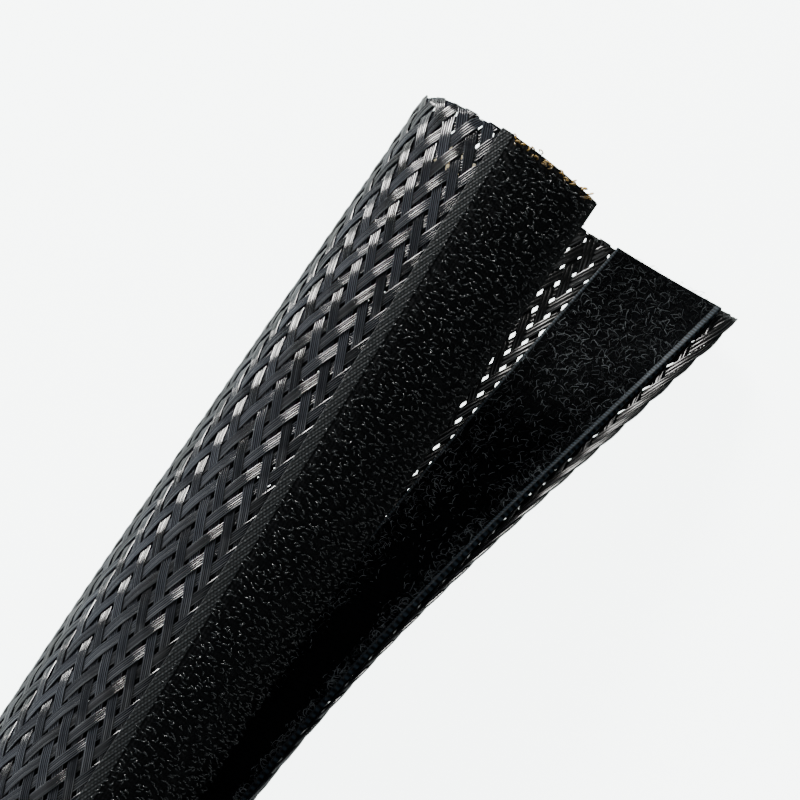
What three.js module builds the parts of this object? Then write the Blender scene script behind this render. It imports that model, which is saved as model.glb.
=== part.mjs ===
// Braided cable sleeve, cut from long stock: one flat braid of plastic monofilament, curled into
// a tube that stays open along one side, with a hook tape sewn outside along one edge and a loop
// tape sewn inside along the other. It lies on its base with its length along X. Near the +X end
// the tube is pulled open, so the loop edge spreads out beside it. Millimetres and degrees, Z up.

import * as THREE from 'three';

// Length of the cut piece, and how much of it is splayed at the +X end
const SLEEVE_LENGTH = 500;
const SPLAY_LENGTH = 122;

// Thicknesses, across the sheet
const BRAID_THICKNESS = 0.8;
const TAPE_GROUND = 0.5;
const HOOK_HEIGHT = 1.2;
const LOOP_HEIGHT = 1.2;
const SEWN_CLEARANCE = 0.3;

// Tapes: both have the same width, with a plain woven selvage along each side
const TAPE_WIDTH = 16;
const HOOK_SELVAGE = 1.6;
const LOOP_SELVAGE = 1.2;
const PILE_FLANK = 0.6;
const HOOK_EDGE_MARGIN = 0.5;
const LOOP_EDGE_MARGIN = 2.6;

// The section, as stretches of the braid's middle line from the hook edge to the loop edge.
// Each has its length, how far it turns where the sleeve is open and where it is curled, and
// in how many steps it is drawn. The side turns by what is left, so that the base is level.
const HOOK_STRIP_BEYOND_TAPE = 2.5;
const STRIP = { length: HOOK_EDGE_MARGIN + TAPE_WIDTH + HOOK_STRIP_BEYOND_TAPE, open: 44, curled: 80, steps: 9 };
const CROWN = { length: 7, open: 46, curled: 39, steps: 4 };
const SHOULDER = { length: 8, open: 60, curled: 33, steps: 5 };
const SIDE = { length: 12, steps: 5 };
const LOWER_SIDE = { length: 9.5, open: 15, curled: 51, steps: 4 };
const BASE = { length: 5.5, open: 0, curled: 0, steps: 1 };
const TURN_UP = { length: 7.5, open: 3.5, curled: 36, steps: 4 };
const FLAP = { length: TAPE_WIDTH + LOOP_EDGE_MARGIN, open: 17, curled: 70, steps: 8 };

// How far the hook edge hangs below the horizontal where the sleeve is open and curled
const HOOK_EDGE_DROOP = { open: 38, curled: 75 };

// How the curl dies away over the splay: 1 is straight, more is quicker near the curled end
const SPLAY_EASE = 2.1;

// Steps along the length
const CURLED_STEPS = 8;
const SPLAY_STEPS = 16;
const TAPE_STEPS = 7;

const STRETCHES = [STRIP, CROWN, SHOULDER, SIDE, LOWER_SIDE, BASE, TURN_UP, FLAP];
const SHEET_WIDTH = STRETCHES.reduce((sum, stretch) => sum + stretch.length, 0);
const TAPE_SEAT = BRAID_THICKNESS / 2 + SEWN_CLEARANCE;

const radians = THREE.MathUtils.degToRad;
const mix = THREE.MathUtils.lerp;

// How curled the sleeve is at x: 1 along the tube, falling to 0 at the open end
function curlAt(x) {
  const fromOpenEnd = SLEEVE_LENGTH / 2 - x;
  const left = Math.max(0, 1 - fromOpenEnd / SPLAY_LENGTH);
  return 1 - left ** SPLAY_EASE;
}

// The turn of each stretch at a given curl
function turnsAt(curl) {
  const droop = mix(HOOK_EDGE_DROOP.open, HOOK_EDGE_DROOP.curled, curl);
  const turns = new Map();
  let taken = 0;
  for (const stretch of STRETCHES) {
    if (stretch === SIDE) continue;
    const turn = mix(stretch.open, stretch.curled, curl);
    turns.set(stretch, turn);
    if (STRETCHES.indexOf(stretch) < STRETCHES.indexOf(BASE)) taken += turn;
  }
  turns.set(SIDE, 180 + droop - taken);
  return { droop, turns };
}

// The middle line of the section: a chain of arcs, one for each stretch. place(s) gives the
// point at distance s from the hook edge, with y to the left of the length and z up, and
// the heading of the line there in degrees. Its lowest stretch is the level base.
function sectionAt(x) {
  const { droop, turns } = turnsAt(curlAt(x));
  const arcs = [];
  let [s, y, z, heading] = [0, 0, 0, 180 - droop];
  for (const stretch of STRETCHES) {
    const arc = { s, y, z, heading, length: stretch.length, turn: turns.get(stretch) };
    arcs.push(arc);
    ({ y, z, heading } = along(arc, stretch.length));
    s += stretch.length;
  }
  const tapeInnerEdge = HOOK_EDGE_MARGIN + TAPE_WIDTH;
  const anchor = place(arcs, tapeInnerEdge);
  const outward = normalAt(anchor.heading);
  const reach = TAPE_SEAT + TAPE_GROUND;
  const baseLevel = arcs[STRETCHES.indexOf(BASE)].z - BRAID_THICKNESS / 2;
  const shift = { y: -(anchor.y + outward.y * reach), z: -baseLevel };
  return (distance) => {
    const point = place(arcs, distance);
    return { y: point.y + shift.y, z: point.z + shift.z, heading: point.heading };
  };
}

// The point a distance along one arc from its start
function along(arc, distance) {
  const turn = arc.turn * distance / arc.length;
  const halfTurn = radians(turn / 2);
  const chord = distance * (Math.abs(halfTurn) < 1e-6 ? 1 : Math.sin(halfTurn) / halfTurn);
  const direction = radians(arc.heading) + halfTurn;
  return {
    y: arc.y - chord * Math.cos(direction),
    z: arc.z + chord * Math.sin(direction),
    heading: arc.heading + turn,
  };
}

function place(arcs, distance) {
  const arc = arcs.findLast((candidate) => candidate.s <= distance) ?? arcs[0];
  return along(arc, distance - arc.s);
}

// The outward normal of the sheet where its middle line has this heading
function normalAt(heading) {
  return { y: -Math.sin(radians(heading)), z: -Math.cos(radians(heading)) };
}

// Places along the length: the curled tube in long steps, the splayed end in short ones
function lengthStations() {
  const start = -SLEEVE_LENGTH / 2;
  const splayStart = SLEEVE_LENGTH / 2 - SPLAY_LENGTH;
  const stations = [];
  for (let i = 0; i < CURLED_STEPS; i += 1) stations.push(mix(start, splayStart, i / CURLED_STEPS));
  for (let i = 0; i <= SPLAY_STEPS; i += 1) {
    stations.push(mix(splayStart, SLEEVE_LENGTH / 2, i / SPLAY_STEPS));
  }
  return stations;
}

// A body swept along the length. Each column has its distance s from the hook edge and the
// depths low and high of its two faces, measured outward from the braid's middle line.
function sweep(columns) {
  const stations = lengthStations();
  const positions = [];
  for (const x of stations) {
    const section = sectionAt(x);
    for (const { s, low, high } of columns) {
      const point = section(s);
      const normal = normalAt(point.heading);
      for (const depth of [low, high]) {
        positions.push(x, point.y + normal.y * depth, point.z + normal.z * depth);
      }
    }
  }
  const low = (station, column) => (station * columns.length + column) * 2;
  const high = (station, column) => low(station, column) + 1;
  const faces = [];
  const quad = (a, b, c, d) => faces.push(a, b, c, a, c, d);
  const lastColumn = columns.length - 1;
  const lastStation = stations.length - 1;
  for (let k = 0; k < lastStation; k += 1) {
    for (let j = 0; j < lastColumn; j += 1) {
      quad(low(k, j), low(k, j + 1), low(k + 1, j + 1), low(k + 1, j));
      quad(high(k, j + 1), high(k, j), high(k + 1, j), high(k + 1, j + 1));
    }
    quad(low(k, lastColumn), high(k, lastColumn), high(k + 1, lastColumn), low(k + 1, lastColumn));
    quad(high(k, 0), low(k, 0), low(k + 1, 0), high(k + 1, 0));
  }
  for (let j = 0; j < lastColumn; j += 1) {
    quad(low(0, j + 1), low(0, j), high(0, j), high(0, j + 1));
    quad(low(lastStation, j), low(lastStation, j + 1), high(lastStation, j + 1), high(lastStation, j));
  }
  const geometry = new THREE.BufferGeometry();
  geometry.setAttribute('position', new THREE.Float32BufferAttribute(positions, 3));
  geometry.setIndex(faces);
  geometry.computeVertexNormals();
  return geometry;
}

// The braid: one even sheet from edge to edge
function braidColumns() {
  const columns = [];
  let start = 0;
  for (const { length, steps } of STRETCHES) {
    for (let i = 0; i < steps; i += 1) columns.push(start + length * i / steps);
    start += length;
  }
  columns.push(SHEET_WIDTH);
  return columns.map((s) => ({ s, low: -BRAID_THICKNESS / 2, high: BRAID_THICKNESS / 2 }));
}

// A tape's depths above its seat: ground alone on the selvages, ground and pile between them
function tapeColumns(start, selvage, pileHeight, side) {
  const end = start + TAPE_WIDTH;
  const ground = TAPE_SEAT + TAPE_GROUND;
  const pile = ground + pileHeight;
  const profile = [{ s: start, top: ground }, { s: start + selvage, top: ground }];
  const fieldStart = start + selvage + PILE_FLANK;
  const fieldEnd = end - selvage - PILE_FLANK;
  for (let i = 0; i <= TAPE_STEPS; i += 1) {
    profile.push({ s: mix(fieldStart, fieldEnd, i / TAPE_STEPS), top: pile });
  }
  profile.push({ s: end - selvage, top: ground }, { s: end, top: ground });
  if (side > 0) return profile.map(({ s, top }) => ({ s, low: TAPE_SEAT, high: top }));
  return profile.map(({ s, top }) => ({ s, low: -top, high: -TAPE_SEAT }));
}

function named(name, geometry, color, roughness) {
  const material = new THREE.MeshStandardMaterial({ color, roughness, metalness: 0 });
  const mesh = new THREE.Mesh(geometry, material);
  mesh.name = name;
  return mesh;
}

const OUTSIDE = 1;
const INSIDE = -1;
const loopTapeStart = SHEET_WIDTH - LOOP_EDGE_MARGIN - TAPE_WIDTH;

const sleeve = new THREE.Group();
sleeve.add(named('braided_sheet', sweep(braidColumns()), 0x33383a, 0.4));
sleeve.add(named('hook_tape',
  sweep(tapeColumns(HOOK_EDGE_MARGIN, HOOK_SELVAGE, HOOK_HEIGHT, OUTSIDE)), 0x1d2224, 0.75));
sleeve.add(named('loop_tape',
  sweep(tapeColumns(loopTapeStart, LOOP_SELVAGE, LOOP_HEIGHT, INSIDE)), 0x33393f, 0.95));

// The origin is under the middle of the sleeve's box
const box = new THREE.Box3().setFromObject(sleeve);
sleeve.position.y = -(box.min.y + box.max.y) / 2;

const part = new THREE.Group();
part.add(sleeve);

export default part;
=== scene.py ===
"""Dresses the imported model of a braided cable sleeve: the strands of its flat braid, the hook
tape sewn outside along one edge, the loop tape sewn inside along the other, and a pale stage."""

import math

import bpy
import numpy as np
from mathutils import Matrix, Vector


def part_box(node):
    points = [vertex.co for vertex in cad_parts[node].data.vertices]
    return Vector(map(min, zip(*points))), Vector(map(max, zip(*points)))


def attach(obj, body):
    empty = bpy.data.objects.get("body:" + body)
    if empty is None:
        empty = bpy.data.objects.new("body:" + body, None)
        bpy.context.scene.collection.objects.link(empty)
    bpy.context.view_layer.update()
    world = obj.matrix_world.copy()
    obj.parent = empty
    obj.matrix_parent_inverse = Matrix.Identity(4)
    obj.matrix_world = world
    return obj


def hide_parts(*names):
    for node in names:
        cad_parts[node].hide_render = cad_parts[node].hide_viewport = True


bl_info = {
    "name": "Braided Cable Sleeve",
    "version": (1, 0, 0),
    "blender": (4, 5, 0),
    "location": "3D View > Sidebar > Sleeve",
    "description": "Builds an open-sided braided cable sleeve with hook and loop tapes",
    "category": "Add Mesh",
}

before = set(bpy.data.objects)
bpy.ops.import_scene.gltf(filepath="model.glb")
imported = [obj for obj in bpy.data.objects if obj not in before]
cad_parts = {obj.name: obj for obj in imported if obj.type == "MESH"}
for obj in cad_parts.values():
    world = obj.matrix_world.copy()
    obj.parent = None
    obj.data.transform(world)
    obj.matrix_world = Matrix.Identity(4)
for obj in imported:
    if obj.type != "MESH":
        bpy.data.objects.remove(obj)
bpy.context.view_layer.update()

MM = 0.001
BODY = "root"
LENGTH = float(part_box("braided_sheet")[1][0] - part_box("braided_sheet")[0][0]) / MM
OPEN_END = LENGTH / 2

# The sheet's middle line across the sleeve, in mm and degrees, from the hook edge to the loop
# edge: each stretch's length, and how far it turns where the sleeve is open and curled. The
# side, with no turns of its own, takes up what is left before the level base.
TAPE_WIDTH = 16.0
HOOK_MARGIN = 0.5
LOOP_MARGIN = 2.6
STRETCHES = (
    ("strip", HOOK_MARGIN + TAPE_WIDTH + 2.5, 44, 80),
    ("crown", 7.0, 46, 39),
    ("shoulder", 8.0, 60, 33),
    ("side", 12.0, None, None),
    ("lower_side", 9.5, 15, 51),
    ("base", 5.5, 0, 0),
    ("turn_up", 7.5, 3.5, 36),
    ("flap", TAPE_WIDTH + LOOP_MARGIN, 17, 70),
)
SHEET_WIDTH = sum(stretch[1] for stretch in STRETCHES)
BASE_START = sum(stretch[1] for stretch in STRETCHES[:5])
TURNS_BEFORE_BASE = ("strip", "crown", "shoulder", "lower_side")
DROOP_OPEN = 38.0
DROOP_CURLED = 75.0
SPLAY_LENGTH = 122.0
SPLAY_EASE = 2.1
SHEET_HALF = 0.4
ANCHOR_DEPTH = 1.2
SHIFT_PLACES = 1021


def curl_at(x):
    """1 along the curled tube, easing to 0 at the open end."""
    left = np.clip(1 - (OPEN_END - x) / SPLAY_LENGTH, 0, None)
    return 1 - left**SPLAY_EASE


def chain_of_arcs(s, x):
    """Walks from the hook edge along the stretches, each an arc whose turn blends between open
    and curled, and stops at distance s. Past either edge the line runs on straight."""
    curl = curl_at(x)
    droop = DROOP_OPEN + (DROOP_CURLED - DROOP_OPEN) * curl
    turns = {}
    taken = 0
    for name, _, opened, curled in STRETCHES:
        if opened is not None:
            turns[name] = opened + (curled - opened) * curl
            taken = taken + (turns[name] if name in TURNS_BEFORE_BASE else 0)
    turns["side"] = 180 + droop - taken
    heading = 180 - droop
    y, z = np.zeros_like(heading + s), np.zeros_like(heading + s)
    start = 0.0
    for name, length, _, _ in STRETCHES:
        low = -np.inf if start == 0 else 0
        high = np.inf if name == "flap" else length
        walked = np.clip(s - start, low, high)
        turn = np.radians(turns[name] * np.clip(walked, 0, length) / length)
        inside = np.clip(walked, 0, length)
        beyond = walked - inside
        chord = inside * np.sinc(turn / (2 * np.pi))
        middle = np.radians(heading) + turn / 2
        end = np.radians(heading) + turn
        y = y - chord * np.cos(middle) - beyond * np.cos(end)
        z = z + chord * np.sin(middle) + beyond * np.sin(end)
        heading = heading + np.degrees(turn)
        start += length
    return y, z, heading


def section_shifts():
    """How far each section moves so that its base is level with the floor and the hook tape's
    inner edge runs straight, on a fine row of places along the length."""
    x = np.linspace(-LENGTH / 2 - 5, LENGTH / 2 + 5, SHIFT_PLACES)
    y, _, heading = chain_of_arcs(np.full_like(x, HOOK_MARGIN + TAPE_WIDTH), x)
    up = np.radians(heading)
    shift_y = -(y - np.sin(up) * ANCHOR_DEPTH)
    shift_z = SHEET_HALF - chain_of_arcs(np.full_like(x, BASE_START), x)[1]
    return x, shift_y, shift_z


SHIFT_X, SHIFT_Y, SHIFT_Z = section_shifts()


def on_sheet(s, x, depth):
    """The place, in mm, of a point s from the hook edge, x along the length and depth outward
    from the middle of the braid, with the outward normal there."""
    s, x, depth = np.broadcast_arrays(s, x, depth)
    y, z, heading = chain_of_arcs(s, x)
    y = y + np.interp(x, SHIFT_X, SHIFT_Y)
    z = z + np.interp(x, SHIFT_X, SHIFT_Z)
    turned = np.radians(heading)
    normal = np.stack([np.zeros_like(turned), -np.sin(turned), -np.cos(turned)], axis=-1)
    return np.stack([x, y + Y_SHIFT, z], axis=-1) + normal * depth[..., None], normal


def side_shift():
    """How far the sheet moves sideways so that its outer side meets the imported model's box."""
    x = np.linspace(-LENGTH / 2, OPEN_END, 60)[:, None]
    outer, _ = on_sheet(np.linspace(0, SHEET_WIDTH, 200)[None, :], x, SHEET_HALF)
    return float(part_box("braided_sheet")[1][1]) / MM - float(outer[..., 1].max())


Y_SHIFT = 0.0
Y_SHIFT = side_shift()


def unit(vectors):
    """Each vector at length 1."""
    return vectors / np.maximum(np.linalg.norm(vectors, axis=-1, keepdims=True), 1e-9)


def ring_faces(paths, steps, sides):
    """The quads of closed tubes laid out path by path, ring by ring, and a cap for each end."""
    ring = np.arange(sides)
    rings = (np.arange(paths)[:, None] * steps + np.arange(steps - 1)[None, :]).reshape(-1, 1) * sides
    a = rings + ring
    b = rings + (ring + 1) % sides
    quads = np.stack([a, b, b + sides, a + sides], axis=-1).reshape(-1, 4)
    first = np.arange(paths)[:, None] * steps * sides + ring[None, ::-1]
    last = (np.arange(paths)[:, None] * steps + steps - 1) * sides + ring[None, :]
    return quads, np.concatenate([first, last])


def build_mesh(name, points, face_sets, uv=None, tint=None, creases=None, smooth=True):
    """A mesh object at the origin from points in mm and arrays of faces. Creases tells for each
    point of a tube's outline whether the edge that runs along the tube from it is sharp."""
    mesh = bpy.data.meshes.new(name)
    points = np.ascontiguousarray(points.reshape(-1, 3) * MM, dtype=np.float32)
    loops = np.concatenate([faces.reshape(-1) for faces in face_sets]).astype(np.int32)
    totals = np.concatenate([np.full(len(faces), faces.shape[1]) for faces in face_sets])
    starts = np.concatenate([[0], np.cumsum(totals)[:-1]]).astype(np.int32)
    mesh.vertices.add(len(points))
    mesh.vertices.foreach_set("co", points.reshape(-1))
    mesh.loops.add(len(loops))
    mesh.loops.foreach_set("vertex_index", loops)
    mesh.polygons.add(len(starts))
    mesh.polygons.foreach_set("loop_start", starts)
    mesh.update(calc_edges=True)
    mesh.polygons.foreach_set("use_smooth", np.full(len(starts), smooth))
    if uv is not None:
        layer = mesh.uv_layers.new(name="UVMap")
        layer.data.foreach_set("uv", uv.reshape(-1, 2)[loops].astype(np.float32).reshape(-1))
    if tint is not None:
        values = mesh.attributes.new("tint", "FLOAT", "POINT")
        values.data.foreach_set("value", tint.reshape(-1).astype(np.float32))
    if creases is not None:
        ends = np.zeros(len(mesh.edges) * 2, np.int32)
        mesh.edges.foreach_get("vertices", ends)
        place = ends.reshape(-1, 2) % len(creases)
        sharp = mesh.attributes.new("sharp_edge", "BOOLEAN", "EDGE")
        sharp.data.foreach_set("value", (place[:, 0] == place[:, 1]) & creases[place[:, 0]])
    mesh.validate()
    piece = bpy.data.objects.new(name, mesh)
    bpy.context.scene.collection.objects.link(piece)
    return piece


def dress(piece, material, node):
    """Gives a piece its material and its place in the frame."""
    piece.data.materials.append(material)
    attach(piece, BODY)
    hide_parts(node)


class Sock:
    """A shader socket that takes part in Python sums, with a Math node for each operation."""

    def __init__(self, shader, socket):
        self.shader = shader
        self.socket = socket

    def _math(self, operation, *inputs):
        return self.shader.add("ShaderNodeMath", {"operation": operation}, dict(enumerate(inputs)))

    def __add__(self, other):
        return self._math("ADD", self, other)

    def __sub__(self, other):
        return self._math("SUBTRACT", self, other)

    def __mul__(self, other):
        return self._math("MULTIPLY", self, other)

    def __truediv__(self, other):
        return self._math("DIVIDE", self, other)

    def __pow__(self, other):
        return self._math("POWER", self, other)

    def __rsub__(self, other):
        return self._math("SUBTRACT", other, self)

    __radd__ = __add__
    __rmul__ = __mul__

    def wave(self):
        """The cosine of a full turn for each unit."""
        return self._math("COSINE", self * math.tau)

    def whole(self):
        """The whole number below."""
        return self._math("FLOOR", self)

    def fraction(self):
        """What is left above the whole number below."""
        return self._math("FRACT", self)

    def clamped(self):
        """Kept between 0 and 1."""
        return self.shader.add("ShaderNodeClamp", {}, {0: self})


class Shader:
    """A material's node tree around one Principled BSDF."""

    def __init__(self, name, **constants):
        self.material = bpy.data.materials.new(name)
        self.material.use_nodes = True
        self.nodes = self.material.node_tree.nodes
        self.links = self.material.node_tree.links
        self.surface = self.nodes["Principled BSDF"]
        for socket, value in constants.items():
            self.surface.inputs[socket.replace("_", " ")].default_value = value

    def add(self, kind, settings, inputs, output=0):
        """A node of any type: its settings first, then the values or links of its sockets."""
        node = self.nodes.new(kind)
        for name, value in settings.items():
            setattr(node, name, value)
        for socket, value in inputs.items():
            self._feed(node.inputs[socket], value)
        return Sock(self, node.outputs[output])

    def _feed(self, socket, value):
        if isinstance(value, Sock):
            self.links.new(value.socket, socket)
        elif isinstance(value, tuple) and len(value) == 3 and socket.type == "RGBA":
            socket.default_value = (*value, 1)
        else:
            socket.default_value = value

    def feed(self, socket, value):
        """Sets or links one socket of the Principled BSDF."""
        self._feed(self.surface.inputs[socket], value)

    def mix(self, factor, first, second):
        """One colour fading into another."""
        inputs = {0: factor, 6: first, 7: second}
        return self.add("ShaderNodeMix", {"data_type": "RGBA"}, inputs, output=2)

    def attribute(self, name):
        """One of the piece's own values."""
        return self.add("ShaderNodeAttribute", {"attribute_name": name}, {}, output=2)

    def coordinates(self, kind):
        """Object coordinates, or the piece's own UV map."""
        return self.add("ShaderNodeTexCoord", {}, {}, output=kind)

    def apart(self, vector):
        """The three parts of a vector."""
        node = self.add("ShaderNodeSeparateXYZ", {}, {0: vector}).socket.node
        return [Sock(self, output) for output in node.outputs]

    def noise(self, vector, scale, detail=2.0):
        """Soft noise between 0 and 1."""
        inputs = {"Vector": vector, "Scale": scale, "Detail": detail}
        return self.add("ShaderNodeTexNoise", {}, inputs)


# Finishes. Lengths in mm go with UV maps in mm, and noise scales with Object coordinates in m.
# The near-black painted shade laid into the grooves between filaments and over a bundle's inner side
PAINTED_SHADE_COLOR = (0.0006, 0.0007, 0.0008)
GROOVE_FALL = 1.5
STREAK_SCALE = 900.0
STREAK_BLUR = 0.12
INNER_BLUR = 0.08
RIBS_PER_MM = 1.6
THREADS_PER_MM = 2.2
SELVAGE_BORDER = 0.05
GRAIN_SCALE = 1500.0
# The share of a selvage yarn's colour left in the dips of its relief, as painted shade
PAINTED_DIP_SHADE = 0.05
AMBER = (0.55, 0.34, 0.09)
MELTED_AMBER = (0.62, 0.42, 0.12)
MELTED_CREAM = (0.9, 0.86, 0.72)
MELTED_GRAIN = 700.0


def monofilament(settings, ridged=True):
    """Black polyester filament, drawn and glossy. The bundle's UV map tells its inner side from
    its outer one, and how far across it a point is. A groove lies between each two filaments,
    (1/2 + 1/2 cos of the filaments counted across)^1.5, and its colour is painted dark as shade;
    the inner side is painted the same dark, as the shade inside the sleeve. Each filament's coat
    is a share made from the bundle's tint and the filament's number, so it shines more or less
    than its neighbours. The inner side is blunter. A plain bundle gets its filaments as bump."""
    name = "monofilament_braid" if ridged else "monofilament_bundle"
    shader = Shader(name, IOR=1.55, Specular_IOR_Level=0.3, Coat_Roughness=0.12, Coat_IOR=1.6)
    inner, across, _ = shader.apart(shader.coordinates("UV"))
    counted = across * float(FILAMENTS)
    groove = (0.5 + 0.5 * counted.wave()) ** GROOVE_FALL
    if not ridged:
        height = {"Height": 1.0 - groove, "Distance": FILAMENT / 3 * MM, "Strength": 0.8}
        shader.feed("Normal", shader.add("ShaderNodeBump", {}, height))
    tint = shader.attribute("tint")
    body = shader.mix(tint, tuple(settings.filament_dark), tuple(settings.filament_light))
    # Painted shade: the grooves and the whole inner side take the near-black colour
    shader.feed("Base Color", shader.mix((groove + inner).clamped(), body, PAINTED_SHADE_COLOR))
    share = (tint * 17.3 + counted.whole() * 0.382).fraction()
    shader.feed("Coat Weight", share * share * (1.0 - inner))
    streak = shader.noise(shader.coordinates("Object"), STREAK_SCALE)
    blur = settings.filament_roughness + (streak - 0.5) * STREAK_BLUR + inner * INNER_BLUR
    shader.feed("Roughness", blur)
    return shader.material


def woven_tape(name, color, dark, shine, selvage_from, selvage_color):
    """Close plain weave, the sum of a cosine for its ribs across the tape and one for its threads
    along it, and beyond a distance across the tape a twill selvage of lighter yarn. The colour
    turns to the dark one where the weave dips and between the twill's floats: painted shade."""
    shader = Shader(name, Roughness=0.8, Specular_IOR_Level=shine)
    along, across, _ = shader.apart(shader.coordinates("UV"))
    rib = 0.5 + 0.5 * (along * RIBS_PER_MM).wave()
    thread = 0.5 + 0.5 * (across * THREADS_PER_MM).wave()
    weave = rib * 0.6 + thread * 0.4
    lean = math.radians(TWILL_LEAN)
    floats = 0.5 + 0.5 * ((across * math.cos(lean) + along * math.sin(lean)) / TWILL_ROW).wave()
    # Painted shade: the colour darkens where the weave dips and between the twill's floats
    ground = shader.mix(weave.clamped(), dark, color)
    yarn = shader.mix(floats, dark, selvage_color)
    in_selvage = ((across - selvage_from) / SELVAGE_BORDER).clamped()
    shader.feed("Base Color", shader.mix(in_selvage, ground, yarn))
    height = {"Height": weave, "Distance": 0.15 * MM, "Strength": 0.4}
    shader.feed("Normal", shader.add("ShaderNodeBump", {}, height))
    return shader.material


def tape_yarn(name, color, roughness):
    """Plain yarn of a selvage, whose tint is its relief: painted shade where it dips, with a fine grain."""
    shader = Shader(name, Roughness=roughness, Specular_IOR_Level=0.3)
    grain = shader.noise(shader.coordinates("Object"), GRAIN_SCALE)
    # Painted shade: the lower the relief, the darker the yarn's colour
    raised = shader.attribute("tint") ** 2.5 * (0.6 + grain * 0.8)
    painted_dip_color = tuple(part * PAINTED_DIP_SHADE for part in color)
    shader.feed("Base Color", shader.mix(raised.clamped(), painted_dip_color, color))
    return shader.material


def stiff_hook(settings):
    """Stiff black filament that turns amber, by its tint, at the melted ends by the cut."""
    shader = Shader("hook_filament", IOR=1.55, Roughness=0.17)
    tint = shader.attribute("tint")
    shader.feed("Base Color", shader.mix(tint, tuple(settings.hook_color), AMBER))
    return shader.material


def melted_end():
    """Cream plastic, melted where the tape was cut hot, which glows a little in its own colour: painted
    light standing in for light coming through it.
    """
    # Painted glow: an emission in the plastic's own colour
    shader = Shader("melted_end", Roughness=0.4, Emission_Strength=0.6)
    grain = shader.noise(shader.coordinates("Object"), MELTED_GRAIN)
    color = shader.mix(grain, MELTED_AMBER, MELTED_CREAM)
    shader.feed("Base Color", color)
    shader.feed("Emission Color", color)
    return shader.material


def loop_fibre(settings):
    """Fine soft fibre, blue-grey and matt, each loop as light as its tint, which is random and is also
    painted lighter deep in the sleeve, where it is shaded: painted light.
    """
    shader = Shader("loop_fibre", Roughness=0.6, Specular_IOR_Level=0.05)
    tint = shader.attribute("tint")
    shader.feed("Base Color", shader.mix(tint, tuple(settings.loop_dark), tuple(settings.loop_light)))
    return shader.material


# The braid. Columns are lines along the sleeve on which strands cross; a strand moves from one
# to the next in half a pitch, and turns back where it meets the cord along either edge. The
# outermost columns lie a little outside the sheet, because the turns are rounded.
COLUMNS = 96
EDGE_OVERRUN = 0.44
COLUMN_SPACING = (SHEET_WIDTH + 2 * EDGE_OVERRUN) / COLUMNS
EDGE_ROUNDING = 1.0
FILAMENTS = 5
FILAMENT = 0.24
CUT_OVERRUN = 0.3
BORDER_OVERLAP = 0.6

# Grooves of the outer and the inner side of a bundle, as heights where its ridges are at 1
GROOVE_UP = 0.06
INNER_GROOVE_UP = 0.2

# By how much a bundle is wider where the cut has loosened it and where the braid is packed,
# around a distance from the hook edge, and how much narrower and thicker where it turns back
LOOSE_SPREAD = 0.28
LOOSE_SWING = 0.2
PACKED_SPREAD = 0.32
PACKED_AT = 46.5
PACKED_REACH = 12.5
TURN_REACH = 1.1
TURN_NARROWING = 0.35
TURN_THICKENING = 0.6

# The golden section, by which the tint steps from strand to strand, so that neighbours differ
TINT_STEP = 0.618034


def strand_course(strand, x, pitch):
    """Which column a strand is on at x, which way it is heading there (1 or -1, easing through 0
    where it turns back), and its distance from the nearer turn, in columns."""
    travelled = (x - pitch * strand) / (pitch / 2)
    from_hook_edge = (travelled + COLUMNS) % (2 * COLUMNS) - COLUMNS
    to_hook = np.abs(from_hook_edge)
    to_loop = COLUMNS - to_hook
    nearer = np.minimum(to_hook, to_loop)
    rounded = np.sqrt(nearer**2 + EDGE_ROUNDING**2)
    column = np.where(to_hook < to_loop, rounded, COLUMNS - rounded)
    heading = np.sign(from_hook_edge) * nearer / rounded
    return column, heading, nearer


def over_under(column):
    """Over two columns and under two: cos(pi / 2 * (column - 1 / 2))."""
    return np.cos((column - 0.5) * np.pi / 2)


def filament_ring():
    """The outline of a bundle of filaments side by side, as across and up from -1 to 1: a ridge
    over each filament, a groove between each two, and a point at each flank, with a plain inner
    side of fewer ridges. The grooves and flanks are creased."""
    ridges = (np.arange(FILAMENTS) - (FILAMENTS - 1) / 2) / (FILAMENTS / 2)
    grooves = (ridges[:-1] + ridges[1:]) / 2
    top_across = np.sort(np.concatenate([ridges, grooves]))
    is_ridge = np.arange(len(top_across)) % 2 == 0
    top_up = np.where(is_ridge, 1.0, GROOVE_UP)
    across = np.concatenate([[-1], top_across, [1], ridges[::-1]])
    inner_groove = np.arange(FILAMENTS) % 2 == 1
    up = np.concatenate([[0], top_up, [0], np.where(inner_groove, -INNER_GROOVE_UP, -1.0)])
    creases = np.concatenate([[True], ~is_ridge, [True], inner_groove])
    return across, up, creases


def flat_ring():
    """A plain bundle outline with a low roof, for stretches that are only seen from afar."""
    return np.array([-1.0, 0.0, 1.0, 0.0]), np.array([0.0, 1.0, 0.0, -1.0]), np.ones(4, bool)


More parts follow.
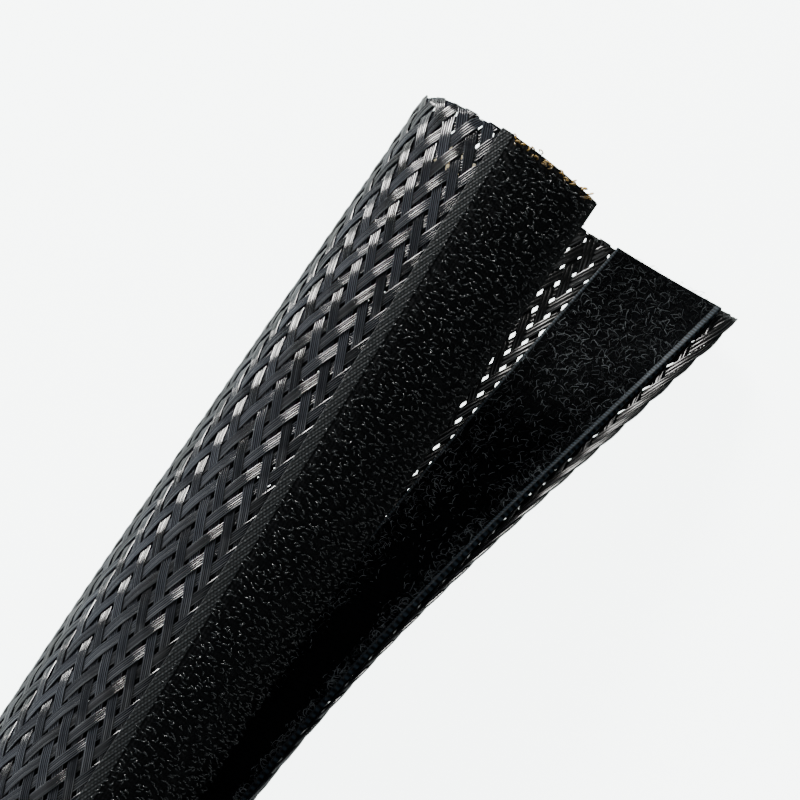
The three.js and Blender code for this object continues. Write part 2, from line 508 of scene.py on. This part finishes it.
def strand_mesh(name, strands, x_from, x_to, step, ring, settings, rng, fraying=0.0):
    """Each strand is a bundle's outline carried along its course over the sheet, at a depth that
    swings over two strands and under the next two. Its UV map says whether a point is on the
    inner side, and how far across the bundle it is, from 0 to 1. Fraying is the most by which a
    strand stops short of x_to."""
    across, up, creases = ring
    steps = int(math.ceil((x_to + CUT_OVERRUN - x_from) / step)) + 1
    x = np.broadcast_to(x_from + step * np.arange(steps), (len(strands), steps))
    cut = x_to - rng.random((len(strands), 1, 1)) ** 3 * fraying
    column, heading, nearer = strand_course(strands[:, None], x, settings.pitch)
    loose = np.exp(-((OPEN_END - x) / settings.loose_length) ** 2)
    sway = (rng.random((len(strands), 1)) - 0.5) * 2 * settings.loose_sway * loose
    s = column * COLUMN_SPACING - EDGE_OVERRUN + sway
    depth = heading * settings.swing * over_under(column) * (1 + LOOSE_SWING * loose)
    centre, normal = on_sheet(s, x, depth)
    tangent = unit(np.gradient(centre, axis=1))
    side = unit(np.cross(normal, tangent))
    rise = np.cross(tangent, side)
    turning = np.exp(-((nearer / TURN_REACH) ** 2))
    packed = np.exp(-(((s - PACKED_AT) / PACKED_REACH) ** 4))
    spread = 1 + LOOSE_SPREAD * loose + PACKED_SPREAD * packed
    half_width = FILAMENTS * FILAMENT / 2 * (1 - TURN_NARROWING * turning) * spread
    half_height = FILAMENT / 2 * 1.1 * (1 + TURN_THICKENING * turning)
    points = (
        centre[:, :, None, :]
        + side[:, :, None, :] * (across * half_width[..., None])[..., None]
        + rise[:, :, None, :] * (up * half_height[..., None])[..., None]
    )
    points[..., 0] = np.clip(points[..., 0], -LENGTH / 2, cut)
    inner = np.broadcast_to(up < 0, points.shape[:3])
    lateral = np.broadcast_to((across + 1) / 2, points.shape[:3])
    tint = np.broadcast_to((strands * TINT_STEP % 1)[:, None, None], points.shape[:3])
    faces = ring_faces(len(strands), steps, len(across))
    return build_mesh(name, points, faces, np.stack([inner, lateral], -1), tint, creases)


class SleeveBraidSettings(bpy.types.PropertyGroup):
    """Sizes and colours of the braid."""

    pitch: bpy.props.FloatProperty(
        name="Pitch", description="Distance in mm along the sleeve between parallel strands", default=4.52
    )
    swing: bpy.props.FloatProperty(
        name="Swing", description="How far in mm a strand rises and dips from the middle", default=0.25
    )
    detail_length: bpy.props.FloatProperty(
        name="Detailed length", description="Length in mm at the open end with separate filaments",
        default=112.0,
    )
    fraying: bpy.props.FloatProperty(
        name="Fraying", description="Most that a strand stops short of the cut, in mm", default=0.5
    )
    loose_length: bpy.props.FloatProperty(
        name="Loose length", description="Length in mm over which the cut has loosened the braid",
        default=7.0,
    )
    loose_sway: bpy.props.FloatProperty(
        name="Loose sway", description="How far in mm a loosened strand moves sideways", default=0.18
    )
    filament_dark: bpy.props.FloatVectorProperty(
        name="Filament, dark", description="Colour of the darkest bundles", subtype="COLOR",
        default=(0.003, 0.0033, 0.0042), min=0, max=1,
    )
    filament_light: bpy.props.FloatVectorProperty(
        name="Filament, light", description="Colour of the lightest bundles", subtype="COLOR",
        default=(0.026, 0.029, 0.036), min=0, max=1,
    )
    filament_roughness: bpy.props.FloatProperty(
        name="Filament roughness", description="How blurred a filament's shine is", default=0.16,
        min=0, max=1, subtype="FACTOR",
    )


class SLEEVE_OT_braid(bpy.types.Operator):
    """Makes the strands of the braid: separate filaments near the open end, plain bundles beyond"""

    bl_idname = "sleeve.braid"
    bl_label = "Braid"

    def execute(self, context):
        settings = context.scene.sleeve_braid
        material = monofilament(settings)
        rng = np.random.default_rng(11)
        border = OPEN_END - settings.detail_length
        groups = np.array_split(np.arange(COLUMNS), 3)
        for index, strands in enumerate(groups):
            piece = strand_mesh(
                f"braid_open_end_{index + 1}", strands, border, OPEN_END,
                settings.pitch / 4, filament_ring(), settings, rng, settings.fraying,
            )
            dress(piece, material, "braided_sheet")
        material = monofilament(settings, ridged=False)
        for index, strands in enumerate(np.array_split(np.arange(COLUMNS), 2)):
            piece = strand_mesh(
                f"braid_tube_{index + 1}", strands, -LENGTH / 2, border + BORDER_OVERLAP,
                settings.pitch / 2, flat_ring(), settings, rng,
            )
            dress(piece, material, "braided_sheet")
        return {"FINISHED"}


# Tapes. Depths are measured outward from the middle of the braid, inward for the loop tape.
TAPE_FOOT = 0.4
TAPE_GROUND_TOP = 1.1
GROUND_ACROSS = 24
TUBE_STATIONS = 60
SPLAY_STATIONS = 80
HOOK_CUT_SLANT = 0.4

# Selvages: the twill's lean in degrees and its floats, and the grid and height of the relief
TWILL_LEAN = 22.0
TWILL_ROW = 0.34
TWILL_FLOAT = 0.5
RIB = 0.42
SELVAGE_LENGTH = 112.0
SELVAGE_STEP = 0.12
SELVAGE_COLUMN = 0.075
SELVAGE_FOOT = 1.08
SELVAGE_RELIEF = 0.17


def tape_stations():
    """Places along the length: far apart on the tube, close together where it opens."""
    splay = OPEN_END - SPLAY_LENGTH
    tube = np.linspace(-LENGTH / 2, splay, TUBE_STATIONS)
    return np.concatenate([tube[:-1], np.linspace(splay, OPEN_END, SPLAY_STATIONS)])


def band_mesh(name, s, x, foot, top, side, slant=0.0, relief=None):
    """A band of woven tape: columns s across, stations x along, a flat foot and a top whose
    depth may vary from point to point, with its relief as a tint. Its UV map is x and the
    distance across it. A slant cuts the end short at its hook-edge side."""
    ring_s = np.concatenate([s[[0, -1]], s[::-1]])
    top = np.broadcast_to(top, (len(x), len(s)))
    ring_depth = np.concatenate([np.full((len(x), 2), foot), top[:, ::-1]], axis=1) * side
    tint = None
    if relief is not None:
        tint = np.concatenate([np.zeros((len(x), 2)), relief[:, ::-1]], axis=1)
    if side < 0:
        ring_s, ring_depth = ring_s[::-1], ring_depth[:, ::-1]
        tint = tint if tint is None else tint[:, ::-1]
    short = slant * (s.max() - ring_s) / TAPE_WIDTH
    along = np.minimum(x[:, None], OPEN_END - short[None, :])
    points, _ = on_sheet(ring_s[None, :], along, ring_depth)
    uv = np.stack([along, np.broadcast_to(ring_s - s.min(), along.shape)], -1)
    quads, caps = ring_faces(1, len(x), len(ring_s))
    quads, caps = quads[:, ::-1], caps[:, ::-1]
    return build_mesh(name, points[None], (quads, caps), uv, tint, smooth=relief is not None)


def ground_mesh(name, start, side, slant=0.0):
    """A tape's woven ground from edge to edge."""
    s = start + np.linspace(0, TAPE_WIDTH, GROUND_ACROSS)
    return band_mesh(name, s, tape_stations(), TAPE_FOOT, TAPE_GROUND_TOP, side, slant)


def twill(x, across, row, float_length):
    """Twill: short floats that lean off the tape's length, |cos(pi * across the floats / row)|
    for their backs times |cos(pi * along the floats / length)| for their dips, each row of
    floats half a float ahead of the last, and all a little uneven."""
    lean = math.radians(TWILL_LEAN)
    over = (across * math.cos(lean) + x * math.sin(lean)) / row
    along = (x * math.cos(lean) - across * math.sin(lean)) / float_length
    back = np.abs(np.cos(np.pi * over))
    dip = np.abs(np.cos(np.pi * (along + 0.5 * np.floor(over + 0.5))))
    uneven = 0.75 + 0.25 * np.sin(5.1 * x + 3.7 * across) * np.sin(2.3 * x - 6.1 * across)
    return uneven * back**0.7 * (0.1 + 0.9 * dip**0.5)


def ribs(x, across, rib):
    """Fine ribs straight across the tape: |cos(pi * x / rib)|, rounded off toward both edges by
    the square root of 1 less the fourth power of the distance from the middle."""
    round_off = np.sqrt(np.clip(1 - (2 * across / across.max() - 1) ** 4, 0, 1))
    return round_off * np.abs(np.cos(np.pi * x / rib))


def selvage_mesh(name, start, width, side, relief, slant=0.0):
    """A selvage in relief near the open end."""
    across = np.linspace(0, width, 1 + round(width / SELVAGE_COLUMN))
    x = np.arange(OPEN_END - SELVAGE_LENGTH, OPEN_END + SELVAGE_STEP, SELVAGE_STEP)
    height = relief(x[:, None], across[None, :])
    top = SELVAGE_FOOT + SELVAGE_RELIEF * height
    return band_mesh(name, start + across, x, TAPE_FOOT, top, side, slant, height)


def tubes_on_sheet(name, paths, binormal, radius, sides, side, tint):
    """Fine tubes whose courses are given as s, x and height above the tape's ground: a circle of
    so many sides carried along each course, then mapped onto the sheet. binormal is the
    direction square to each course's own plane."""
    tangent = unit(np.gradient(paths, axis=1))
    lateral = unit(binormal[:, None, :] - tangent * (binormal[:, None, :] * tangent).sum(-1, keepdims=True))
    rise = np.cross(tangent, lateral)
    angle = np.arange(sides) * math.tau / sides
    points = paths[:, :, None, :] + radius[:, :, None, None] * (
        lateral[:, :, None, :] * np.cos(angle)[:, None] + rise[:, :, None, :] * np.sin(angle)[:, None]
    )
    depth = (TAPE_GROUND_TOP + points[..., 2]) * side
    placed, _ = on_sheet(points[..., 0], points[..., 1], depth)
    quads, caps = ring_faces(paths.shape[0], paths.shape[1], sides)
    if side < 0:
        quads, caps = quads[:, ::-1], caps[:, ::-1]
    spread = np.broadcast_to(tint[:, :, None], points.shape[:3])
    return build_mesh(name, placed, (quads, caps), None, spread)


def scattered(rng, start, stop, x_from, x_to, row, column):
    """Points of a grid over part of a tape, with every second row moved along by half a place
    and each point by up to half a place at random."""
    rows = int((x_to - x_from) / row)
    columns = int((stop - start) / column)
    grid_x, grid_s = np.meshgrid(np.arange(rows), np.arange(columns), indexing="ij")
    s = start + (grid_s + 0.5 + 0.25 * (-1.0) ** grid_x) * (stop - start) / columns
    x = x_from + (grid_x + 0.5) * (x_to - x_from) / rows
    jitter = rng.random((2, rows, columns)) - 0.5
    return (s + jitter[0] * column).ravel(), (x + jitter[1] * row).ravel()


# Hooks: length in mm, share of it that is stem, turn of the rest in degrees, and depth of root
HOOK_LENGTH = 1.8
HOOK_STEM = 0.3
HOOK_TURN = 230.0
HOOK_ROOT = 0.15
HOOK_SWERVE = 0.7
HOOK_LEAN = 0.22
AMBER_REACH = 1.1

# Melted ends of the backing, under the braid beside the tape: how many, over what width and
# length, how far below the tape, and their radius
MELTED_ENDS = 26
MELTED_WIDTH = 6.0
MELTED_LENGTH = 8.0
MELTED_DEPTH = 1.7
MELTED_RADIUS = 0.2


def hook_paths(rng, s, x, steps):
    """A hook: a stem that rises, then an arc that turns over by more than half a turn, summed up
    step by step from its heading. Its plane is turned to either side of the tape's width."""
    t = np.linspace(0, 1, steps)
    turned = np.radians(HOOK_TURN) * np.clip((t - HOOK_STEM) / (1 - HOOK_STEM), 0, 1)
    size = (0.85 + 0.3 * rng.random(len(s)))[:, None]
    length = HOOK_LENGTH * size
    rise = np.cumsum(np.cos(turned)) / steps
    reach = np.cumsum(np.sin(turned)) / steps
    angle = (rng.normal(0, HOOK_SWERVE, len(s)) + np.pi * rng.integers(0, 2, len(s)))[:, None]
    lean = rng.normal(0, HOOK_LEAN, (len(s), 1))
    out = length * reach
    up = length * rise - HOOK_ROOT
    path_s = s[:, None] + out * np.cos(angle) - up * lean * np.sin(angle)
    path_x = x[:, None] + out * np.sin(angle) + up * lean * np.cos(angle)
    binormal = np.stack([-np.sin(angle[:, 0]), np.cos(angle[:, 0]), np.zeros(len(s))], -1)
    return np.stack([path_s, path_x, up + 0 * path_s], -1), binormal


def melted_ends(rng):
    """Short curled ends of the hook tape's backing, scattered under the braid by the cut."""
    s = HOOK_MARGIN + TAPE_WIDTH + 0.6 + MELTED_WIDTH * rng.random(MELTED_ENDS)
    x = OPEN_END - 1.2 - MELTED_LENGTH * rng.random(MELTED_ENDS)
    paths, binormal = hook_paths(rng, s, x, 8)
    paths[..., 2] -= TAPE_GROUND_TOP + MELTED_DEPTH * (0.8 + 0.5 * rng.random((MELTED_ENDS, 1)))
    radius = np.full(paths.shape[:2], MELTED_RADIUS)
    return tubes_on_sheet("melted_ends", paths, binormal, radius, 6, 1, np.ones(paths.shape[:2]))


class SleeveHookSettings(bpy.types.PropertyGroup):
    """Sizes and colours of the hook tape."""

    selvage: bpy.props.FloatProperty(
        name="Selvage", description="Width in mm of the woven band along the inner side", default=1.6
    )
    outer_selvage: bpy.props.FloatProperty(
        name="Outer selvage", description="Width in mm of the bare band along the edge", default=0.8
    )
    row: bpy.props.FloatProperty(
        name="Row spacing", description="Distance in mm between rows of hooks", default=0.78
    )
    column: bpy.props.FloatProperty(
        name="Column spacing", description="Distance in mm between hooks in a row", default=0.76
    )
    radius: bpy.props.FloatProperty(
        name="Hook radius", description="Radius in mm of a hook's filament", default=0.095
    )
    hook_color: bpy.props.FloatVectorProperty(
        name="Hook colour", description="Colour of the hooks", subtype="COLOR",
        default=(0.015, 0.017, 0.018), min=0, max=1,
    )


class SLEEVE_OT_hook_tape(bpy.types.Operator):
    """Makes the hook tape: its woven ground, selvage, field of stiff hooks and melted ends"""

    bl_idname = "sleeve.hook_tape"
    bl_label = "Hook tape"

    def execute(self, context):
        settings = context.scene.sleeve_hook
        rng = np.random.default_rng(23)
        ground = ground_mesh("hook_tape_ground", HOOK_MARGIN, 1, HOOK_CUT_SLANT)
        weave = woven_tape(
            "hook_tape_weave", (0.0045, 0.005, 0.006), (0.0015, 0.0018, 0.002), 0.12,
            TAPE_WIDTH - settings.selvage, (0.03, 0.036, 0.04),
        )
        dress(ground, weave, "hook_tape")
        inner = HOOK_MARGIN + TAPE_WIDTH - settings.selvage
        yarn = tape_yarn("hook_tape_yarn", (0.05, 0.06, 0.065), 0.5)
        relief = selvage_mesh(
            "hook_selvage_inner", inner, settings.selvage, 1,
            lambda x, across: twill(x, across, TWILL_ROW, TWILL_FLOAT),
        )
        dress(relief, yarn, "hook_tape")
        material = stiff_hook(settings)
        start = HOOK_MARGIN + settings.outer_selvage
        stop = inner + 0.2
        border = OPEN_END - context.scene.sleeve_braid.detail_length
        for name, low, high, steps, sides, wider in (
            ("hooks_open_end", border, OPEN_END, 7, 4, 1.0),
            ("hooks_tube", -LENGTH / 2, border, 4, 3, 1.5),
        ):
            s, x = scattered(rng, start, stop, low, high, settings.row * wider, settings.column * wider)
            paths, binormal = hook_paths(rng, s, x, steps)
            radius = np.full(paths.shape[:2], settings.radius)
            melted = np.clip(1.2 - (OPEN_END - paths[..., 1]) / AMBER_REACH, 0, 1)
            piece = tubes_on_sheet(name, paths, binormal, radius, sides, 1, melted)
            dress(piece, material, "hook_tape")
        dress(melted_ends(rng), melted_end(), "hook_tape")
        return {"FINISHED"}


# Loops: depth of root in mm, and how much lighter they are painted deep in the sleeve than at the cut, as
# painted light where the sleeve shades them
LOOP_ROOT = 0.05
PAINTED_LIGHT_AT_CUT = 0.55
PAINTED_LIGHT_GAIN = 4.5


def loop_paths(rng, s, x, steps, size):
    """A loop of fibre: an arch, half a cosine wide and a sine high, with a random lean and a
    sideways curl of twice its frequency."""
    count = len(s)
    t = np.linspace(0, np.pi, steps)[None, :]
    half = size * (0.6 + 0.8 * rng.random((count, 1)))
    height = size * (0.7 + 1.3 * rng.random((count, 1)))
    curl = size * rng.normal(0, 0.5, (count, 1))
    lean = size * rng.normal(0, 0.8, (count, 1))
    angle = math.tau * rng.random((count, 1))
    out = -half * np.cos(t) + lean * np.sin(t) ** 2
    side = curl * np.sin(2 * t)
    up = height * np.sin(t) - LOOP_ROOT
    path_s = s[:, None] + out * np.cos(angle) - side * np.sin(angle)
    path_x = x[:, None] + out * np.sin(angle) + side * np.cos(angle)
    binormal = np.stack([-np.sin(angle[:, 0]), np.cos(angle[:, 0]), np.zeros(count)], -1)
    return np.stack([path_s, path_x, up], -1), binormal


class SleeveLoopSettings(bpy.types.PropertyGroup):
    """Sizes and colours of the loop tape."""

    selvage: bpy.props.FloatProperty(
        name="Selvage", description="Width in mm of the ribbed band along the edge", default=0.8
    )
    inner_selvage: bpy.props.FloatProperty(
        name="Inner selvage", description="Width in mm of the ribbed band along the inside", default=0.45
    )
    spacing: bpy.props.FloatProperty(
        name="Loop spacing", description="Distance in mm between loops near the open end", default=0.57
    )
    radius: bpy.props.FloatProperty(
        name="Fibre radius", description="Radius in mm of a loop's fibre", default=0.03
    )
    loop_dark: bpy.props.FloatVectorProperty(
        name="Fibre, dark", description="Colour of the darkest fibres", subtype="COLOR",
        default=(0.0015, 0.0018, 0.002), min=0, max=1,
    )
    loop_light: bpy.props.FloatVectorProperty(
        name="Fibre, light", description="Colour of the lightest fibres", subtype="COLOR",
        default=(0.17, 0.19, 0.2), min=0, max=1,
    )


class SLEEVE_OT_loop_tape(bpy.types.Operator):
    """Makes the loop tape: its woven ground, its two selvages and its pile of soft loops"""

    bl_idname = "sleeve.loop_tape"
    bl_label = "Loop tape"

    def execute(self, context):
        settings = context.scene.sleeve_loop
        rng = np.random.default_rng(37)
        tape_start = SHEET_WIDTH - LOOP_MARGIN - TAPE_WIDTH
        ground = ground_mesh("loop_tape_ground", tape_start, -1)
        weave = woven_tape(
            "loop_tape_weave", (0.002, 0.0025, 0.003), (0.0008, 0.001, 0.0012), 0.02,
            TAPE_WIDTH - settings.selvage, (0.02, 0.03, 0.04),
        )
        dress(ground, weave, "loop_tape")
        yarn = tape_yarn("loop_tape_yarn", (0.035, 0.052, 0.068), 0.6)
        outer = tape_start + TAPE_WIDTH - settings.selvage
        for name, low, width in (
            ("loop_selvage_inner", tape_start, settings.inner_selvage),
            ("loop_selvage_outer", outer, settings.selvage),
        ):
            relief = selvage_mesh(name, low, width, -1, lambda x, across: ribs(x, across, RIB))
            dress(relief, yarn, "loop_tape")
        material = loop_fibre(settings)
        start = tape_start + settings.inner_selvage
        border = OPEN_END - context.scene.sleeve_braid.detail_length
        for name, low, high, spacing, steps, size, thick in (
            ("loops_open_end", border, OPEN_END, settings.spacing, 7, 0.45, 1.0),
            ("loops_tube", -LENGTH / 2, border, settings.spacing * 4.5, 5, 0.8, 3.0),
        ):
            s, x = scattered(rng, start, outer, low, high, spacing, spacing)
            paths, binormal = loop_paths(rng, s, x, steps, size)
            radius = np.full(paths.shape[:2], settings.radius * thick)
            # Painted light: the tint grows deeper in the sleeve, where the curled flap lies in shade
            deep_painted_light = PAINTED_LIGHT_AT_CUT + PAINTED_LIGHT_GAIN * np.clip((OPEN_END - x) / SPLAY_LENGTH, 0, 1)
            tint = np.broadcast_to((rng.random(len(s)) ** 3 * deep_painted_light)[:, None], paths.shape[:2])
            piece = tubes_on_sheet(name, paths, binormal, radius, 3, -1, tint)
            dress(piece, material, "loop_tape")
        return {"FINISHED"}


# The picture: where the photograph puts the hook tape's inner corner, in its 800 by 800 pixels
PICTURE = 800.0
CORNER_PIXEL = (503.0, 127.0)

# Where the lights stand, along the picture's right, up and toward the camera
KEY_TOWARD = (-0.221, 0.941, 0.256)
FILL_TOWARD = (-0.78, 0.40, 0.48)
FRONT_TOWARD = (0.0, -0.1, 1.0)

# Half the floor's width, in mm
FLOOR_HALF = 4000.0


class SleeveStageSettings(bpy.types.PropertyGroup):
    """The camera and the light."""

    tilt: bpy.props.FloatProperty(
        name="Tilt", description="How far the view leans along the sleeve", default=math.radians(11.771),
        subtype="ANGLE",
    )
    roll: bpy.props.FloatProperty(
        name="Roll", description="How far the view leans across the sleeve", default=math.radians(2.074),
        subtype="ANGLE",
    )
    turn: bpy.props.FloatProperty(
        name="Turn", description="How far the sleeve's length is turned in the picture",
        default=math.radians(57.257), subtype="ANGLE",
    )
    lens: bpy.props.FloatProperty(name="Lens", description="Focal length in mm", default=249.3)
    distance: bpy.props.FloatProperty(
        name="Distance", description="From the camera to the corner, along the view", default=0.7,
        unit="LENGTH",
    )
    floor_color: bpy.props.FloatVectorProperty(
        name="Floor colour", description="Colour of the floor", subtype="COLOR",
        default=(0.84, 0.9, 0.885), min=0, max=1,
    )
    floor_glow: bpy.props.FloatProperty(
        name="Floor glow", description="How bright the floor looks, like a light table", default=7.0
    )
    floor_light: bpy.props.FloatProperty(
        name="Floor light", description="How much of its glow the floor throws on the sleeve",
        default=0.12, min=0, max=1, subtype="FACTOR",
    )
    key_power: bpy.props.FloatProperty(
        name="Key light", description="Power of the key light in W", default=9.0
    )
    fill_power: bpy.props.FloatProperty(
        name="Fill light", description="Power of the bluish fill light in W", default=0.75
    )
    front_power: bpy.props.FloatProperty(
        name="Front light", description="Power of the wide light behind the camera in W", default=5.0
    )
    sky: bpy.props.FloatProperty(name="Sky", description="Strength of the surroundings", default=0.15)


def place_matrix(right, up, back, place):
    """The matrix of a camera or lamp with these axes at this place."""
    matrix = np.eye(4)
    matrix[:3, :3] = np.stack([right, up, back], axis=1)
    matrix[:3, 3] = place
    return Matrix(matrix.tolist())


def view_axes(settings):
    """The picture's right, up and toward-the-camera directions: the view leans along the sleeve
    by the tilt, then across it by the roll, and turns about itself."""
    lean, roll, turn = settings.tilt, settings.roll, settings.turn
    forward = np.array([math.sin(lean), 0, -math.cos(lean)])
    along = np.array([math.cos(lean), 0, math.sin(lean)])
    across = np.array([0, -1.0, 0])
    forward, across = (
        math.cos(roll) * forward + math.sin(roll) * across,
        math.cos(roll) * across - math.sin(roll) * forward,
    )
    right = math.cos(turn) * along + math.sin(turn) * across
    up = math.sin(turn) * along - math.cos(turn) * across
    return right, up, -forward


def add_lamp(name, axes, toward, target, distance, width, power, color):
    """A soft square light on the target, in a direction given along the picture's axes."""
    right, up, back = axes
    aim = unit(toward[0] * right + toward[1] * up + toward[2] * back)
    side = unit(np.cross(up, aim))
    lamp = bpy.data.lights.new(name, "AREA")
    lamp.size = width
    lamp.energy = power
    lamp.color = color
    holder = bpy.data.objects.new(name, lamp)
    bpy.context.scene.collection.objects.link(holder)
    holder.matrix_world = place_matrix(side, np.cross(aim, side), aim, target + aim * distance)


def add_camera(settings):
    """Puts the hook tape's inner corner at the open end on its pixel, at the picture's scale."""
    right, up, back = view_axes(settings)
    data = bpy.data.cameras.new("photo_camera")
    data.sensor_width = 36.0
    data.lens = settings.lens
    data.clip_start = 0.01
    data.clip_end = 50.0
    focal_pixels = data.lens / data.sensor_width * PICTURE
    corner = on_sheet(HOOK_MARGIN + TAPE_WIDTH, OPEN_END, ANCHOR_DEPTH)[0] * MM
    across, down = (np.array(CORNER_PIXEL) - PICTURE / 2) / focal_pixels * settings.distance
    target = corner - right * across + up * down
    camera = bpy.data.objects.new("photo_camera", data)
    bpy.context.scene.collection.objects.link(camera)
    camera.matrix_world = place_matrix(right, up, back, target + back * settings.distance)
    bpy.context.scene.camera = camera
    return target


def pale_room(color, settings):
    """Surroundings that look as pale as the floor and throw only a little light."""
    world = bpy.data.worlds.new("pale_room")
    world.use_nodes = True
    nodes, links = world.node_tree.nodes, world.node_tree.links
    sky = nodes["Background"]
    sky.inputs["Color"].default_value = (*color, 1)
    strength = nodes.new("ShaderNodeMapRange")
    strength.inputs["To Min"].default_value = settings.sky
    strength.inputs["To Max"].default_value = settings.floor_glow
    seen = nodes.new("ShaderNodeLightPath").outputs["Is Camera Ray"]
    links.new(seen, strength.inputs["Value"])
    links.new(strength.outputs["Result"], sky.inputs["Strength"])
    return world


class SLEEVE_OT_stage(bpy.types.Operator):
    """Makes the pale floor, the soft lights and the camera"""

    bl_idname = "sleeve.stage"
    bl_label = "Stage"

    def execute(self, context):
        settings = context.scene.sleeve_stage
        target = add_camera(settings)
        axes = view_axes(settings)
        corners = np.array([[-1, -1, 0], [1, -1, 0], [1, 1, 0], [-1, 1, 0]]) * FLOOR_HALF
        floor = build_mesh("floor", corners, (np.array([[0, 1, 2, 3]]),), smooth=False)
        floor_shader = Shader("pale_floor", Roughness=0.8, Emission_Strength=settings.floor_glow)
        color = tuple(settings.floor_color)
        floor_shader.feed("Base Color", color)
        seen = floor_shader.add("ShaderNodeLightPath", {}, {})
        dim = tuple(part * settings.floor_light for part in color)
        floor_shader.feed("Emission Color", floor_shader.mix(seen, dim, color))
        floor.data.materials.append(floor_shader.material)
        for name, toward, distance, width, power, tone in (
            ("key_light", KEY_TOWARD, 0.6, 0.16, settings.key_power, (1.0, 0.98, 0.95)),
            ("fill_light", FILL_TOWARD, 0.5, 0.4, settings.fill_power, (0.8, 0.87, 1.0)),
            ("front_light", FRONT_TOWARD, 1.2, 1.0, settings.front_power, (0.95, 0.98, 1.0)),
        ):
            add_lamp(name, axes, toward, target, distance, width, power, tone)
        context.scene.world = pale_room(color, settings)
        return {"FINISHED"}


class SLEEVE_PT_panel(bpy.types.Panel):
    """Lists the sleeve's pieces and their sizes."""

    bl_label = "Braided sleeve"
    bl_space_type = "VIEW_3D"
    bl_region_type = "UI"
    bl_category = "Sleeve"

    def draw(self, context):
        for operator, group in STEPS:
            self.layout.operator(operator.bl_idname)
            values = getattr(context.scene, group)
            for name in values.__annotations__:
                self.layout.prop(values, name)


STEPS = (
    (SLEEVE_OT_braid, "sleeve_braid"),
    (SLEEVE_OT_hook_tape, "sleeve_hook"),
    (SLEEVE_OT_loop_tape, "sleeve_loop"),
    (SLEEVE_OT_stage, "sleeve_stage"),
)
GROUPS = {
    "sleeve_braid": SleeveBraidSettings,
    "sleeve_hook": SleeveHookSettings,
    "sleeve_loop": SleeveLoopSettings,
    "sleeve_stage": SleeveStageSettings,
}


def register():
    """Registers the classes and hangs each group of settings on the scene."""
    for name, group in GROUPS.items():
        bpy.utils.register_class(group)
        setattr(bpy.types.Scene, name, bpy.props.PointerProperty(type=group))
    for operator, _ in STEPS:
        bpy.utils.register_class(operator)
    bpy.utils.register_class(SLEEVE_PT_panel)


def unregister():
    """Takes them off again."""
    bpy.utils.unregister_class(SLEEVE_PT_panel)
    for operator, _ in reversed(STEPS):
        bpy.utils.unregister_class(operator)
    for name, group in reversed(GROUPS.items()):
        delattr(bpy.types.Scene, name)
        bpy.utils.unregister_class(group)


def main():
    """Builds everything in order."""
    register()
    bpy.ops.sleeve.braid()
    bpy.ops.sleeve.hook_tape()
    bpy.ops.sleeve.loop_tape()
    bpy.ops.sleeve.stage()


if __name__ == "__main__":
    main()
